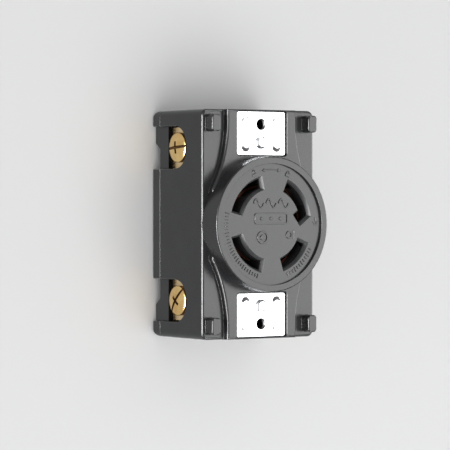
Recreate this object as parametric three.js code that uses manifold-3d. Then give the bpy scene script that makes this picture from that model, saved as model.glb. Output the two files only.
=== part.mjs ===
// A panel-mount locking power receptacle: four curved blade slots in a round socket face, two steel
// mounting ears and four clamp terminals that are worked from windows in its sides.
//
// Millimetres. +Z is up, -Y is the way the socket faces, +X is to the right of someone who faces it.
// The origin is the centre of the socket face, so every depth below is a Y value measured back from it.

import * as THREE from 'three';
import { mergeVertices } from 'three/addons/utils/BufferGeometryUtils.js';
import Module from 'manifold-3d';

const wasm = await Module();
wasm.setup();

// ---------------------------------------------------------------- driving dimensions

const BODY = { halfWidth: 20.5, halfHeight: 34.4, cornerRadius: 2, wall: 2 };

// Depths of the main planes, front to back.
const DEPTH = {
  rim: -0.8, // front of the boss's rim
  face: 0, // socket face
  faceBack: 2, // back of the socket face's wall
  posts: 3, // fronts of the corner posts, which meet the panel
  island: 4.6, // raised island between the side strips
  ear: 5.2, // fronts of the mounting ears
  strip: 6.6, // side strips, the front of the box itself
  wallBack: 9, // inside of the front wall
  joint: 29.5, // where the back plate meets the housing
  back: 33.3,
};

const BOSS = { radius: 20.3, faceRadius: 18.2, innerRadius: 18.3, rimRound: 0.5 };

// Island: straight edges near the ends, then an arc that flares out to the boss.
const ISLAND = { halfWidth: 12.65, flareRadius: 40, flareStart: 30.5, mergeHeight: 10.5 };

const POST = { x: 17.65, z: 30.3, width: 3.2, height: 5.2, round: 1.1 };

// Slots are parts of one ring. Angles are degrees, counterclockwise from +X, seen from the front.
const SLOT = { inner: 10.6, outer: 14.95 };
const LOCK_TURN = 15; // how far a blade turns past its slot when the plug is locked
const FOOT_TURN = { from: -17, to: 22 }; // room behind the face for the ground blade's foot
const FOOT = { angle: 37, from: 8.1, to: 13.2, near: 2.5, far: 6.9 };

const EAR = {
  halfWidth: 8.85, inner: 20.7, outer: 33.85, thickness: 1.5, round: 0.8,
  holeZ: 30, holeRadius: 1.65, ribX: 5.65, ribWidth: 3.4, ribFrom: 22.1, ribTo: 32.3, ribHeight: 0.4,
  gap: 0.3, endGap: 0.2,
};
const EAR_RIVET = { z: 24.55, headRadius: 1.95, headHeight: 0.7, shankRadius: 1.1, hole: 1.4 };

// Terminals: one in each quarter. Distances from the middle planes are positive here and are mirrored.
const TERMINAL = { depth: 21.5, z: 23.1 };
const WINDOW = { radius: 6.4, recess: 1.05 };
const POCKET = {
  innerX: 10, guideX: 9.2, guideWall: 1, low: 16, high: 29.9, floor: 14.2, divider: [15.4, 16.4],
};
const SCREW = { headRadius: 4.5, rimX: 19.55, crownX: 20.3, seatX: 18.2, shankRadius: 2, tipX: 10.7 };
const PLATE = { outerX: 18.1, innerX: 16.9, front: 14.8, back: 26, low: 17, high: 29.2 };
const ARM = { low: 6.6, high: 11.6, front: 22.4, back: 23.6, innerX: 6.6 };
const CLAMP = { outerX: 13.3, innerX: 11.5, front: 16.2, back: 26.4, low: 17.6, high: 28.6 };
const THREAD_CLEARANCE = 0.3;

// The recess in a terminal screw's head, and the wire grooves of the clamp plates.
const DRIVE = { width: 0.95, depth: 1, crossLength: 4.4, slotLength: 12 };
const GROOVE = { radius: 1.7, standOff: 1.1 };

const WIRE = { x: 15.2, radius: 1.95, offsets: [-3.5, 3.5] };

const BLOCK = { radius: 18, front: 2.3, back: 22, floor: 19.5, ease: 0.2 };
const CONTACT = { inner: 11, outer: 14.6, leaf: 0.7, front: 6, floor: 18, back: 19.2 };
const CONTACT_FOOT = { outer: 8.5, inner: 8, from: -15, to: 17, openFrom: -11, openTo: 13 };
const CONTACT_RIVET = { x: 9, z: 9.1, shankRadius: 1, headRadius: 2, headHeight: 0.9, hole: 1.3 };
const STRAP = { halfWidth: 3, thickness: 0.8, legZ: 19, padTo: 27, armTo: 12, front: 9.3, back: 23.9 };

const PILLAR = { x: 6.1, z: 28.4, radius: 2.6, hole: 1.5 };
const ASSEMBLY_SCREW = {
  headRadius: 2.6, headSeat: 31.2, shankRadius: 1.2, tip: 17, driveWidth: 0.7, driveLength: 2.8,
};

// Back plate: a plug that fits inside the housing, tongues that close the windows behind their screws, and
// pegs that press the contact block forwards.
const PLUG = { front: 27.3, clearance: 0.3 };
const TONGUE = { gap: 0.3, sideGap: 0.1, thickness: 0.6, innerX: 15, reach: 5 };
const PRESS = { x: 14.5, radius: 1.8 };
const NOTCH = { innerX: 12.4, floor: 30.9, deepTo: 22.73, slantTo: 24.58 };

const QUARTERS = [
  { name: 'upper_left', x: -1, z: 1, slot: [103, 166], contact: [90, 160], screwTurn: -5 },
  { name: 'lower_left', x: -1, z: -1, slot: [194.5, 257.5], contact: [182, 252], screwTurn: -50 },
  { name: 'lower_right', x: 1, z: -1, slot: [287.7, 337.7], contact: [275, 332], screwTurn: 75 },
  { name: 'upper_right', x: 1, z: 1, slot: [9, 65.5], contact: [-3, 60], screwTurn: 20, ground: true },
];

// Solids that are joined run this far into each other, and cutting tools run this far past what they cut.
const BITE = 0.5;
const PAST = 1;

// Facets in a full turn of large, middling and small round shapes, and steps in one drawn arc.
const FACETS = { large: 60, medium: 28, small: 16 };
const ARC_STEPS = { long: 9, short: 4 };

// ---------------------------------------------------------------- materials

const material = (color, roughness, metalness) =>
  new THREE.MeshStandardMaterial({ color, roughness, metalness, flatShading: true });

const blackPlastic = material(0x2a2b2d, 0.42, 0);
const zincPlate = material(0xdfe1e3, 0.3, 1);
const brass = material(0xc79a52, 0.3, 1);
const copper = material(0xb4693f, 0.35, 1);
const steel = material(0x9a9ca0, 0.4, 1);
const greenPlate = material(0x3c7a45, 0.4, 0.8);

// ---------------------------------------------------------------- solids and booleans

function solid(geometry) {
  const bare = geometry.clone();
  bare.deleteAttribute('normal');
  bare.deleteAttribute('uv');
  const merged = mergeVertices(bare, 1e-4);
  const index = merged.index.array;
  const triangles = [];
  for (let i = 0; i < index.length; i += 3) {
    const [a, b, c] = [index[i], index[i + 1], index[i + 2]];
    if (a !== b && b !== c && c !== a) triangles.push(a, b, c);
  }
  const build = (list) => new wasm.Manifold(new wasm.Mesh({
    numProp: 3,
    vertProperties: Float32Array.from(merged.attributes.position.array),
    triVerts: Uint32Array.from(list),
  }));
  const made = build(triangles);
  return made.volume() > 0 ? made : build(triangles.reverse());
}

const join = (first, ...others) => others.reduce((whole, piece) => whole.add(piece), first);
const cut = (first, ...tools) => tools.reduce((whole, tool) => whole.subtract(tool), first);

// A box given by its low and high corners, in any order.
function block(xs, ys, zs) {
  const size = (pair) => Math.abs(pair[1] - pair[0]);
  const middle = (pair) => (pair[0] + pair[1]) / 2;
  const box = new THREE.BoxGeometry(size(xs), size(ys), size(zs));
  return solid(box.translate(middle(xs), middle(ys), middle(zs)));
}

// An outline in the XZ plane, carried from one depth to another.
function prism(shape, front, back, curveSegments = ARC_STEPS.short) {
  const depth = back - front;
  const geometry = new THREE.ExtrudeGeometry(shape, { depth, bevelEnabled: false, curveSegments });
  return solid(geometry.rotateX(Math.PI / 2).translate(0, back, 0));
}

// A round bar along Y, or along X.
function barY(radius, front, back, x, z, segments = FACETS.small) {
  const bar = new THREE.CylinderGeometry(radius, radius, back - front, segments);
  return solid(bar.translate(x, (front + back) / 2, z));
}

function barX(radius, x0, x1, y, z, segments = FACETS.small) {
  const bar = new THREE.CylinderGeometry(radius, radius, Math.abs(x1 - x0), segments);
  return solid(bar.rotateZ(Math.PI / 2).translate((x0 + x1) / 2, y, z));
}

// A turned piece. The profile is a list of [radius, height] that starts and ends on the axis.
function turned(profile, segments = FACETS.small) {
  const points = profile.map(([radius, height]) => new THREE.Vector2(radius, height));
  return new THREE.LatheGeometry(points, segments);
}

function roundedRectangle(halfWidth, halfHeight, radius, x = 0, z = 0) {
  const [w, h, r] = [halfWidth, halfHeight, radius];
  const shape = new THREE.Shape();
  shape.moveTo(x - w + r, z - h);
  shape.lineTo(x + w - r, z - h);
  shape.absarc(x + w - r, z - h + r, r, -Math.PI / 2, 0);
  shape.lineTo(x + w, z + h - r);
  shape.absarc(x + w - r, z + h - r, r, 0, Math.PI / 2);
  shape.lineTo(x - w + r, z + h);
  shape.absarc(x - w + r, z + h - r, r, Math.PI / 2, Math.PI);
  shape.lineTo(x - w, z - h + r);
  shape.absarc(x - w + r, z - h + r, r, Math.PI, Math.PI * 1.5);
  return shape;
}

// Part of a ring in the XZ plane, between two radii and two angles in degrees.
function ringPart(inner, outer, fromDegrees, toDegrees) {
  const from = THREE.MathUtils.degToRad(fromDegrees);
  const to = THREE.MathUtils.degToRad(toDegrees);
  const shape = new THREE.Shape();
  shape.absarc(0, 0, outer, from, to, false);
  shape.absarc(0, 0, inner, to, from, true);
  shape.closePath();
  return shape;
}

// ---------------------------------------------------------------- front housing

function islandOutline() {
  const { halfWidth, flareRadius, flareStart, mergeHeight } = ISLAND;
  const steps = 9;
  const edge = [];
  for (let i = 0; i <= steps; i++) {
    const z = mergeHeight + (flareStart - mergeHeight) * (i / steps);
    const drop = flareStart - z;
    edge.push([halfWidth + flareRadius - Math.sqrt(flareRadius ** 2 - drop ** 2), z]);
  }
  edge.push([halfWidth, BODY.halfHeight]);
  const quarter = (sx, sz) => edge.map(([x, z]) => new THREE.Vector2(sx * x, sz * z));
  return new THREE.Shape([
    ...quarter(1, 1), ...quarter(-1, 1).reverse(), ...quarter(-1, -1), ...quarter(1, -1).reverse(),
  ]);
}

function boss() {
  const { radius, rimRound } = BOSS;
  const profile = [
    [0, DEPTH.wallBack], [radius, DEPTH.wallBack], [radius, DEPTH.rim + rimRound],
    [radius - 0.3 * rimRound, DEPTH.rim + 0.3 * rimRound], [radius - rimRound, DEPTH.rim], [0, DEPTH.rim],
  ];
  return solid(turned(profile, FACETS.large));
}

// The ground slot's foot runs straight in from the ring, beside the slot's middle radius.
function footOutline() {
  const turn = THREE.MathUtils.degToRad(FOOT.angle);
  const place = (along, across) => new THREE.Vector2(
    along * Math.cos(turn) + across * Math.sin(turn),
    along * Math.sin(turn) - across * Math.cos(turn),
  );
  return new THREE.Shape([
    place(FOOT.from, FOOT.near), place(FOOT.from, FOOT.far),
    place(FOOT.to, FOOT.far), place(FOOT.to, FOOT.near),
  ]);
}

function bladeSlots() {
  const through = [DEPTH.face - PAST, DEPTH.faceBack + PAST];
  const slots = QUARTERS.map(({ slot }) =>
    prism(ringPart(SLOT.inner, SLOT.outer, ...slot), ...through, ARC_STEPS.long));
  return [...slots, prism(footOutline(), ...through)];
}

function terminalWindow(sx, sz) {
  const { halfWidth } = BODY;
  const z = sz * TERMINAL.z;
  const xs = [sx * (halfWidth - BODY.wall - BITE), sx * (halfWidth + PAST)];
  const round = barX(WINDOW.radius, ...xs, TERMINAL.depth, z, FACETS.medium);
  const channel = block(xs, [TERMINAL.depth, DEPTH.joint + PAST], [z - WINDOW.radius, z + WINDOW.radius]);
  return round.add(channel);
}

// Walls inside the housing that form one terminal's pocket and the pillar beside it.
function pocketWalls(sx, sz) {
  const { innerX, guideX, guideWall, low, high, divider } = POCKET;
  const end = sz * (BODY.halfHeight - BODY.wall + BITE);
  const xs = [sx * innerX, sx * (BODY.halfWidth - BODY.wall + BITE)];
  const back = PLUG.front - PLUG.clearance;
  const front = DEPTH.wallBack - BITE;
  const floor = block(xs, [front, POCKET.floor], [sz * low, end]);
  const endBlock = block(xs, [front, back], [sz * high, end]);
  const guide = block([sx * guideX, sx * (guideX + guideWall)], [front, back], [sz * low, sz * (high + 0.1)]);
  const dividerWall = block(xs, [front, BLOCK.back], [sz * divider[0], sz * divider[1]]);
  const pillar = barY(PILLAR.radius, front, back, sx * PILLAR.x, sz * PILLAR.z);
  return [floor, endBlock, guide, dividerWall, pillar];
}

function frontHousing() {
  const { halfWidth, halfHeight, cornerRadius, wall } = BODY;
  const box = prism(roundedRectangle(halfWidth, halfHeight, cornerRadius), DEPTH.strip, DEPTH.joint);
  const hollow = block(
    [wall - halfWidth, halfWidth - wall],
    [DEPTH.wallBack, DEPTH.joint + PAST],
    [wall - halfHeight, halfHeight - wall],
  );
  const island = prism(islandOutline(), DEPTH.island, DEPTH.strip + PAST);
  let body = join(cut(box, hollow), island, boss());
  body = cut(
    body,
    barY(BOSS.faceRadius, DEPTH.rim - PAST, DEPTH.face, 0, 0, FACETS.large),
    barY(BOSS.innerRadius, DEPTH.faceBack, DEPTH.wallBack + PAST, 0, 0, FACETS.large),
    ...bladeSlots(),
  );
  for (const { x: sx, z: sz } of QUARTERS) {
    const post = roundedRectangle(POST.width / 2, POST.height / 2, POST.round, sx * POST.x, sz * POST.z);
    body = join(body, prism(post, DEPTH.posts, DEPTH.strip + PAST), ...pocketWalls(sx, sz));
    body = cut(
      body,
      terminalWindow(sx, sz),
      barY(PILLAR.hole, ASSEMBLY_SCREW.tip - PAST, DEPTH.joint, sx * PILLAR.x, sz * PILLAR.z),
    );
  }
  for (const sz of [1, -1]) {
    body = cut(
      body,
      block([-EAR.halfWidth - EAR.gap, EAR.halfWidth + EAR.gap], [0, DEPTH.ear + EAR.thickness + EAR.endGap],
        [sz * (EAR.inner - EAR.gap), sz * (EAR.outer + EAR.endGap)]),
      barY(EAR.holeRadius + BITE, DEPTH.ear, DEPTH.wallBack + PAST, 0, sz * EAR.holeZ),
      barY(EAR_RIVET.hole, DEPTH.ear, DEPTH.wallBack + PAST, 0, sz * EAR_RIVET.z),
    );
  }
  return body;
}

// ---------------------------------------------------------------- back plate

// One side's notches, in a section seen along X: the deep one is level with the wires' entries.
function notchOutline(sz) {
  const past = DEPTH.back + PAST;
  const low = TERMINAL.z - WINDOW.radius;
  const run = past - DEPTH.back;
  const slope = (NOTCH.slantTo - NOTCH.deepTo) / (DEPTH.back - NOTCH.floor);
  const points = [
    [low, past], [low, NOTCH.floor], [NOTCH.deepTo, NOTCH.floor], [NOTCH.slantTo + slope * run, past],
  ];
  return new THREE.Shape(points.map(([z, y]) => new THREE.Vector2(y, sz * z)));
}

// An outline whose X is the depth, carried across the object from one X to another.
function crossPrism(shape, x0, x1) {
  const depth = Math.abs(x1 - x0);
  const geometry = new THREE.ExtrudeGeometry(shape, { depth, bevelEnabled: false });
  // Local X becomes depth, local Y stays up, and local Z becomes -X.
  const toRow = new THREE.Matrix4().set(0, 0, -1, Math.max(x0, x1), 1, 0, 0, 0, 0, 1, 0, 0, 0, 0, 0, 1);
  return solid(geometry.applyMatrix4(toRow));
}

function backPlate() {
  const { halfWidth, halfHeight, cornerRadius, wall } = BODY;
  const plate = prism(roundedRectangle(halfWidth, halfHeight, cornerRadius), DEPTH.joint, DEPTH.back);
  const gap = PLUG.clearance;
  const plugX = halfWidth - wall - gap;
  const plugZ = halfHeight - wall - gap;
  let body = plate.add(block([-plugX, plugX], [PLUG.front, DEPTH.joint + BITE], [-plugZ, plugZ]));
  const side = halfWidth + PAST;
  const past = DEPTH.back + PAST;
  for (const { x: sx, z: sz } of QUARTERS) {
    const low = sz * (TERMINAL.z - WINDOW.radius);
    const high = sz * (TERMINAL.z + WINDOW.radius);
    const recessX = halfWidth - WINDOW.recess;
    const tongue = block(
      [sx * (plugX - BITE), sx * recessX],
      [TERMINAL.depth + SCREW.headRadius + TONGUE.gap, DEPTH.joint + BITE],
      [low + sz * TONGUE.sideGap, high - sz * TONGUE.sideGap],
    );
    const inside = [PLUG.front - TONGUE.reach, PLUG.front];
    const undercut = block([sx * TONGUE.innerX, sx * (recessX - TONGUE.thickness)], inside, [low, high]);
    const recess = block([sx * recessX, sx * side], [PLUG.front - TONGUE.reach, past], [low, high]);
    const notch = crossPrism(notchOutline(sz), sx * NOTCH.innerX, sx * side);
    const wires = WIRE.offsets.map((offset) =>
      barY(WIRE.radius, PLUG.front - PAST, past, sx * WIRE.x, sz * (TERMINAL.z + offset)));
    const x = sx * PILLAR.x;
    const z = sz * PILLAR.z;
    body = cut(
      body.add(cut(tongue, undercut)), recess, notch, ...wires,
      barY(PILLAR.hole, PLUG.front - PAST, DEPTH.back, x, z),
      barY(ASSEMBLY_SCREW.headRadius + gap, ASSEMBLY_SCREW.headSeat, past, x, z),
    );
  }
  for (const sx of [1, -1]) {
    body = body.add(barY(PRESS.radius, BLOCK.back + gap, PLUG.front + BITE, sx * PRESS.x, 0));
  }
  return body;
}

// ---------------------------------------------------------------- contacts and their block

// The hole for a contact's rivet through whatever lies between two depths.
function contactRivetHole(sx, sz, front, back) {
  const { hole, x, z } = CONTACT_RIVET;
  return barY(hole, front - PAST, back + PAST, sx * x, sz * z);
}

function contactBlock() {
  let body = barY(BLOCK.radius, BLOCK.front, BLOCK.back, 0, 0, FACETS.large);
  for (const { x: sx, z: sz, slot: [from, to], ground } of QUARTERS) {
    const start = ground ? FOOT_TURN.from : from - LOCK_TURN;
    const pocket = ringPart(SLOT.inner - BLOCK.ease, SLOT.outer + BLOCK.ease, start, to + 1);
    body = cut(
      body,
      prism(pocket, BLOCK.front - PAST, BLOCK.floor, ARC_STEPS.long),
      contactRivetHole(sx, sz, BLOCK.floor, BLOCK.back),
    );
    if (ground) {
      const foot = ringPart(FOOT.from - BLOCK.ease, SLOT.inner, FOOT_TURN.from, FOOT_TURN.to);
      body = cut(body, prism(foot, BLOCK.front - PAST, BLOCK.floor));
    }
  }
  return body;
}

// A curved channel that takes a blade between two leaves.
function contact({ x: sx, z: sz, contact: [from, to], ground }) {
  const { inner, outer, leaf, front, floor, back } = CONTACT;
  const channel = cut(
    prism(ringPart(inner, outer, from, to), front, back, ARC_STEPS.long),
    prism(ringPart(inner + leaf, outer - leaf, from - 5, to + 5), front - PAST, floor, ARC_STEPS.long),
  );
  let body = channel;
  if (ground) {
    const { outer: footOuter, inner: footInner, from: footFrom, to: footTo, openFrom, openTo } = CONTACT_FOOT;
    const foot = cut(
      prism(ringPart(footOuter, inner + 0.2, footFrom, footTo), front, back),
      prism(ringPart(footInner, inner - 0.01, openFrom, openTo), front - PAST, floor),
      prism(ringPart(footInner, inner + PAST, openTo, footTo + 1), front - PAST, floor),
    );
    body = channel.add(foot);
  }
  return body.subtract(contactRivetHole(sx, sz, floor, back));
}

// The rivet joins a contact, through the block, to the bus arm behind it and, for the ground, to the strap.
function contactRivet({ x: sx, z: sz, ground }) {
  const { shankRadius, headRadius, headHeight } = CONTACT_RIVET;
  const seat = (ground ? STRAP.back + STRAP.thickness : ARM.back) + 0.05;
  const profile = [
    [0, CONTACT.floor - 0.4], [shankRadius, CONTACT.floor - 0.4], [shankRadius, seat], [headRadius, seat],
    [headRadius, seat + 0.5 * headHeight], [0.6 * headRadius, seat + headHeight], [0, seat + headHeight],
  ];
  return solid(turned(profile).translate(sx * CONTACT_RIVET.x, 0, sz * CONTACT_RIVET.z));
}

// ---------------------------------------------------------------- terminals

function terminalPlate(sx, sz) {
  const xs = [sx * PLATE.outerX, sx * PLATE.innerX];
  return cut(
    join(
      block(xs, [PLATE.front, PLATE.back], [sz * PLATE.low, sz * PLATE.high]),
      block(xs, [ARM.front, PLATE.back], [sz * ARM.low, sz * (PLATE.low + BITE)]),
      block([xs[0], sx * ARM.innerX], [ARM.front, ARM.back], [sz * ARM.low, sz * ARM.high]),
    ),
    barX(SCREW.shankRadius + THREAD_CLEARANCE, sx * (PLATE.innerX - PAST), sx * (PLATE.outerX + PAST),
      TERMINAL.depth, sz * TERMINAL.z),
    contactRivetHole(sx, sz, ARM.front, ARM.back),
  );
}

function clampPlate(sx, sz) {
  const { outerX, innerX, front, back, low, high } = CLAMP;
  const grooveX = sx * (outerX + GROOVE.standOff);
  const grooves = WIRE.offsets.map((offset) =>
    barY(GROOVE.radius, front - PAST, back + PAST, grooveX, sz * (TERMINAL.z + offset)));
  return cut(
    block([sx * innerX, sx * outerX], [front, back], [sz * low, sz * high]),
    barX(SCREW.shankRadius + THREAD_CLEARANCE, sx * (innerX - PAST), sx * (outerX + PAST),
      TERMINAL.depth, sz * TERMINAL.z),
    ...grooves,
  );
}

// Turned about Y with the head's seat at zero, then laid along X, head outwards.
function terminalScrew(sx, sz, turnDegrees) {
  const { headRadius, rimX, crownX, seatX, shankRadius, tipX } = SCREW;
  const rim = rimX - seatX;
  const crown = crownX - seatX;
  const shank = seatX - tipX;
  const profile = [
    [0, -shank], [shankRadius - 0.5, -shank], [shankRadius, 0.5 - shank], [shankRadius, 0],
    [headRadius - 0.15, 0], [headRadius, 0.15], [headRadius, rim - 0.1],
    [0.75 * headRadius, crown - 0.3], [0.4 * headRadius, crown - 0.08], [0, crown],
  ];
  const blank = solid(turned(profile, FACETS.medium));
  // Each limb of the recess is twice as tall as it is deep and is centred on the crown.
  const limb = (x, z) => solid(new THREE.BoxGeometry(x, 2 * DRIVE.depth, z).translate(0, crown, 0));
  const slot = limb(DRIVE.width, DRIVE.slotLength);
  const cross = limb(DRIVE.crossLength, DRIVE.width);
  const turn = THREE.MathUtils.degToRad(turnDegrees);
  const placed = new THREE.Matrix4().makeTranslation(sx * seatX, TERMINAL.depth, sz * TERMINAL.z);
  placed.multiply(new THREE.Matrix4().makeRotationX(turn));
  placed.multiply(new THREE.Matrix4().makeRotationZ(-sx * Math.PI / 2));
  placed.multiply(new THREE.Matrix4().makeRotationY(Math.PI / 2));
  return blank.subtract(slot).subtract(cross).transform(placed.elements);
}

// ---------------------------------------------------------------- ears, strap and fasteners

function mountingEar(sz) {
  const { halfWidth, inner, outer, thickness, round, ribX, ribWidth, ribFrom, ribTo, ribHeight } = EAR;
  const middle = (inner + outer) / 2;
  const outline = roundedRectangle(halfWidth, (outer - inner) / 2, round, 0, sz * middle);
  let body = prism(outline, DEPTH.ear, DEPTH.ear + thickness);
  for (const sx of [1, -1]) {
    const rib = roundedRectangle(ribWidth / 2, (ribTo - ribFrom) / 2, ribWidth / 2 - 0.01, sx * ribX,
      sz * (ribFrom + ribTo) / 2);
    body = body.add(prism(rib, DEPTH.ear - ribHeight, DEPTH.ear + BITE));
  }
  return cut(
    body,
    barY(EAR.holeRadius, DEPTH.face, DEPTH.wallBack, 0, sz * EAR.holeZ, FACETS.medium),
    barY(EAR_RIVET.hole, DEPTH.face, DEPTH.wallBack, 0, sz * EAR_RIVET.z),
  );
}

function earRivet(sz) {
  const { headRadius, headHeight, shankRadius, z } = EAR_RIVET;
  const seat = DEPTH.ear - 0.05;
  const tail = STRAP.front + STRAP.thickness + 0.05;
  const profile = [
    [0, seat - headHeight], [0.55 * headRadius, seat - 0.85 * headHeight],
    [headRadius, seat - 0.3 * headHeight], [headRadius, seat], [shankRadius, seat],
    [shankRadius, tail], [1.8, tail], [1.5, tail + 0.7], [0, tail + 0.7],
  ];
  return solid(turned(profile).translate(0, 0, sz * z));
}

function bondingStrap() {
  const { halfWidth, thickness, legZ, padTo, armTo, front, back } = STRAP;
  const xs = [-halfWidth, halfWidth];
  let body = block(xs, [back, back + thickness], [-legZ, legZ]);
  const half = thickness / 2;
  for (const sz of [1, -1]) {
    const leg = block(xs, [front, back + thickness], [sz * (legZ - half), sz * (legZ + half)]);
    const pad = block(xs, [front, front + thickness], [sz * legZ, sz * padTo]);
    const hole = barY(EAR_RIVET.hole, front - PAST, front + thickness + PAST, 0, sz * EAR_RIVET.z);
    body = join(body, leg, pad).subtract(hole);
  }
  const arm = block([0, armTo], [back, back + thickness], [ARM.low, ARM.high]);
  return body.add(arm).subtract(contactRivetHole(1, 1, back, back + thickness));
}

function assemblyScrew(sx, sz) {
  const { headRadius, headSeat, shankRadius, tip, driveWidth, driveLength } = ASSEMBLY_SCREW;
  const top = DEPTH.back - 0.3;
  const seat = headSeat + 0.05;
  const profile = [
    [0, tip], [0.3, tip], [shankRadius, tip + 1.2], [shankRadius, seat], [headRadius, seat],
    [headRadius, top - 0.5], [0.6 * headRadius, top], [0, top],
  ];
  const blank = solid(turned(profile));
  const limb = (w, h) => solid(new THREE.BoxGeometry(w, 2, h).translate(0, top + 0.1, 0));
  const recessed = cut(blank, limb(driveWidth, driveLength), limb(driveLength, driveWidth));
  return recessed.translate([sx * PILLAR.x, 0, sz * PILLAR.z]);
}

// ---------------------------------------------------------------- the assembly

const receptacle = new THREE.Group();

function add(name, piece, look) {
  const { vertProperties, triVerts, numProp } = piece.getMesh();
  const positions = new Float32Array((vertProperties.length / numProp) * 3);
  for (let i = 0; i < positions.length / 3; i++) {
    positions.set(vertProperties.subarray(i * numProp, i * numProp + 3), i * 3);
  }
  const geometry = new THREE.BufferGeometry();
  geometry.setAttribute('position', new THREE.BufferAttribute(positions, 3));
  geometry.setIndex(new THREE.BufferAttribute(Uint32Array.from(triVerts), 1));
  const mesh = new THREE.Mesh(geometry, look);
  mesh.name = name;
  receptacle.add(mesh);
}

add('front_housing', frontHousing(), blackPlastic);
add('back_plate', backPlate(), blackPlastic);
add('contact_block', contactBlock(), blackPlastic);
add('bonding_strap', bondingStrap(), steel);

for (const [name, sz] of [['upper', 1], ['lower', -1]]) {
  add(`mounting_ear_${name}`, mountingEar(sz), zincPlate);
  add(`ear_rivet_${name}`, earRivet(sz), zincPlate);
}

for (const quarter of QUARTERS) {
  const { name, x, z, screwTurn, ground } = quarter;
  add(ground ? 'ground_contact' : `line_contact_${name}`, contact(quarter), copper);
  add(`contact_rivet_${name}`, contactRivet(quarter), brass);
  add(`terminal_plate_${name}`, terminalPlate(x, z), brass);
  add(`clamp_plate_${name}`, clampPlate(x, z), steel);
  add(`terminal_screw_${name}`, terminalScrew(x, z, screwTurn), ground ? greenPlate : brass);
  add(`assembly_screw_${name}`, assemblyScrew(x, z), steel);
}

export default receptacle;
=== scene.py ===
"""A panel-mount locking power receptacle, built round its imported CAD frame.

Pieces are modelled in millimetres, in the frame's own axes: +X right, +Z up, and the socket faces -Y.
Each one is scaled to metres once, when it is placed. Depths are Y values, measured from the socket face.
"""

import math

import bmesh
import bpy
from mathutils import Matrix, Vector


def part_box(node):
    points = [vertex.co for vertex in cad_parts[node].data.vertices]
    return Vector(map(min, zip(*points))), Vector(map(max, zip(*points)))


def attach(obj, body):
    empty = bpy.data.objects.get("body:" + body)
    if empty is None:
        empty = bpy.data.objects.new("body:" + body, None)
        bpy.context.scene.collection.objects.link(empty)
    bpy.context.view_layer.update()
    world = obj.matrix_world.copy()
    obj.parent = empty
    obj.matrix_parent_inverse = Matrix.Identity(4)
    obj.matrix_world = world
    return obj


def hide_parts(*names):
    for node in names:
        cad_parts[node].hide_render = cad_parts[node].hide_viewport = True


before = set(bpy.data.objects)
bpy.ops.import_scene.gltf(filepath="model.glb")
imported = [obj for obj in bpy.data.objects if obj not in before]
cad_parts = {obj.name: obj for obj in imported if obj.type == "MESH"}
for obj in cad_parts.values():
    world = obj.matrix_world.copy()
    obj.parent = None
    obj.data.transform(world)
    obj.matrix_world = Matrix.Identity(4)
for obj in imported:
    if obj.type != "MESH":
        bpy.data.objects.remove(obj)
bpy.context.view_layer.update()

MM = 0.001


def span(node):
    """A CAD node's lowest and highest corners, in millimetres."""
    low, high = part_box(node)
    return low / MM, high / MM


# ---------------------------------------------------------------- dimensions

# The frame gives those that it has. The others repeat the CAD model's.

HOUSING_LOW, HOUSING_HIGH = span("front_housing")
PLATE_HIGH = span("back_plate")[1]
EAR_LOW, EAR_HIGH = span("mounting_ear_upper")
EAR_RIVET_LOW, EAR_RIVET_HIGH = span("ear_rivet_upper")

HALF_WIDTH = HOUSING_HIGH.x
HALF_HEIGHT = HOUSING_HIGH.z
CORNER = 2.0
WALL = 2.0
RIM = HOUSING_LOW.y
JOINT = HOUSING_HIGH.y
BACK = PLATE_HIGH.y

FACE = 0.0
FACE_BACK = 2.0
POST_FRONT = 3.0
ISLAND_FRONT = 4.6
EAR_FRONT = 5.2
STRIP = 6.6
WALL_BACK = 9.0

EDGE_ROUND = 0.8  # the box's front edges
DRAFT = 0.2  # how much the box's ends narrow from front to joint; its sides stay straight
JOINT_EDGE = 0.05  # the broken edges on both sides of the joint
BOSS = {"radius": 20.3, "face": 18.2, "inner": 18.3, "round": 0.4}
ISLAND = {"half_width": 12.65, "flare_radius": 40, "flare_start": 30.5, "merge": 10.5, "round": 0.7}
POST = {"x": 17.65, "z": 30.3, "half_width": 1.6, "half_height": 2.6, "corner": 1.1, "round": 0.45}
SLOT = {"inner": 10.6, "outer": 14.85, "taper": 0.7, "taper_depth": 1.15}
LIP = {"inner": 11.25, "outer": 14.2, "back": 5.8}
FOOT = {"angle": 37, "low": 8.1, "high": 13.2, "near": 2.5, "far": 6.9}
EAR_RIB = {"x": 5.65, "half_width": 1.7, "from": 22.1, "to": 32.3, "height": 0.4}
EAR_HOLE = {"z": 30.0, "radius": 1.65}
EAR_RIVET = {"z": (EAR_RIVET_LOW.z + EAR_RIVET_HIGH.z) / 2, "hole": 1.4}
EAR_GAP = 0.3
POCKET = {"inner": 10.0, "floor": 14.2, "low": 16.0, "high": 29.9, "shelf_back": 22.0}
WINDOW = {"depth": 21.5, "z": 23.1, "radius": 6.4, "recess": 1.05}
HEAD = {"radius": 4.5, "seat": 18.2, "rim": 19.55, "crown": 20.3}
RECESS = {"half_width": 0.45, "depth": 1.0, "cross": 2.1}
SHANK = {"radius": 2.0, "tip": 10.7, "pitch": 0.7}
WIRE = {"x": 15.2, "radius": 1.95, "step": 3.5}
PILLAR = {"x": 6.1, "z": 28.4, "radius": 2.6, "hole": 1.5, "hole_from": 16.0}
CASE_SCREW = {"seat": 31.2, "seat_radius": 2.9, "head_radius": 2.6, "tip": 17.0}
NOTCH = {"inner": 12.4, "floor": 30.9, "deep": 22.73, "slant": 24.58}
PLUG = 27.3

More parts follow.
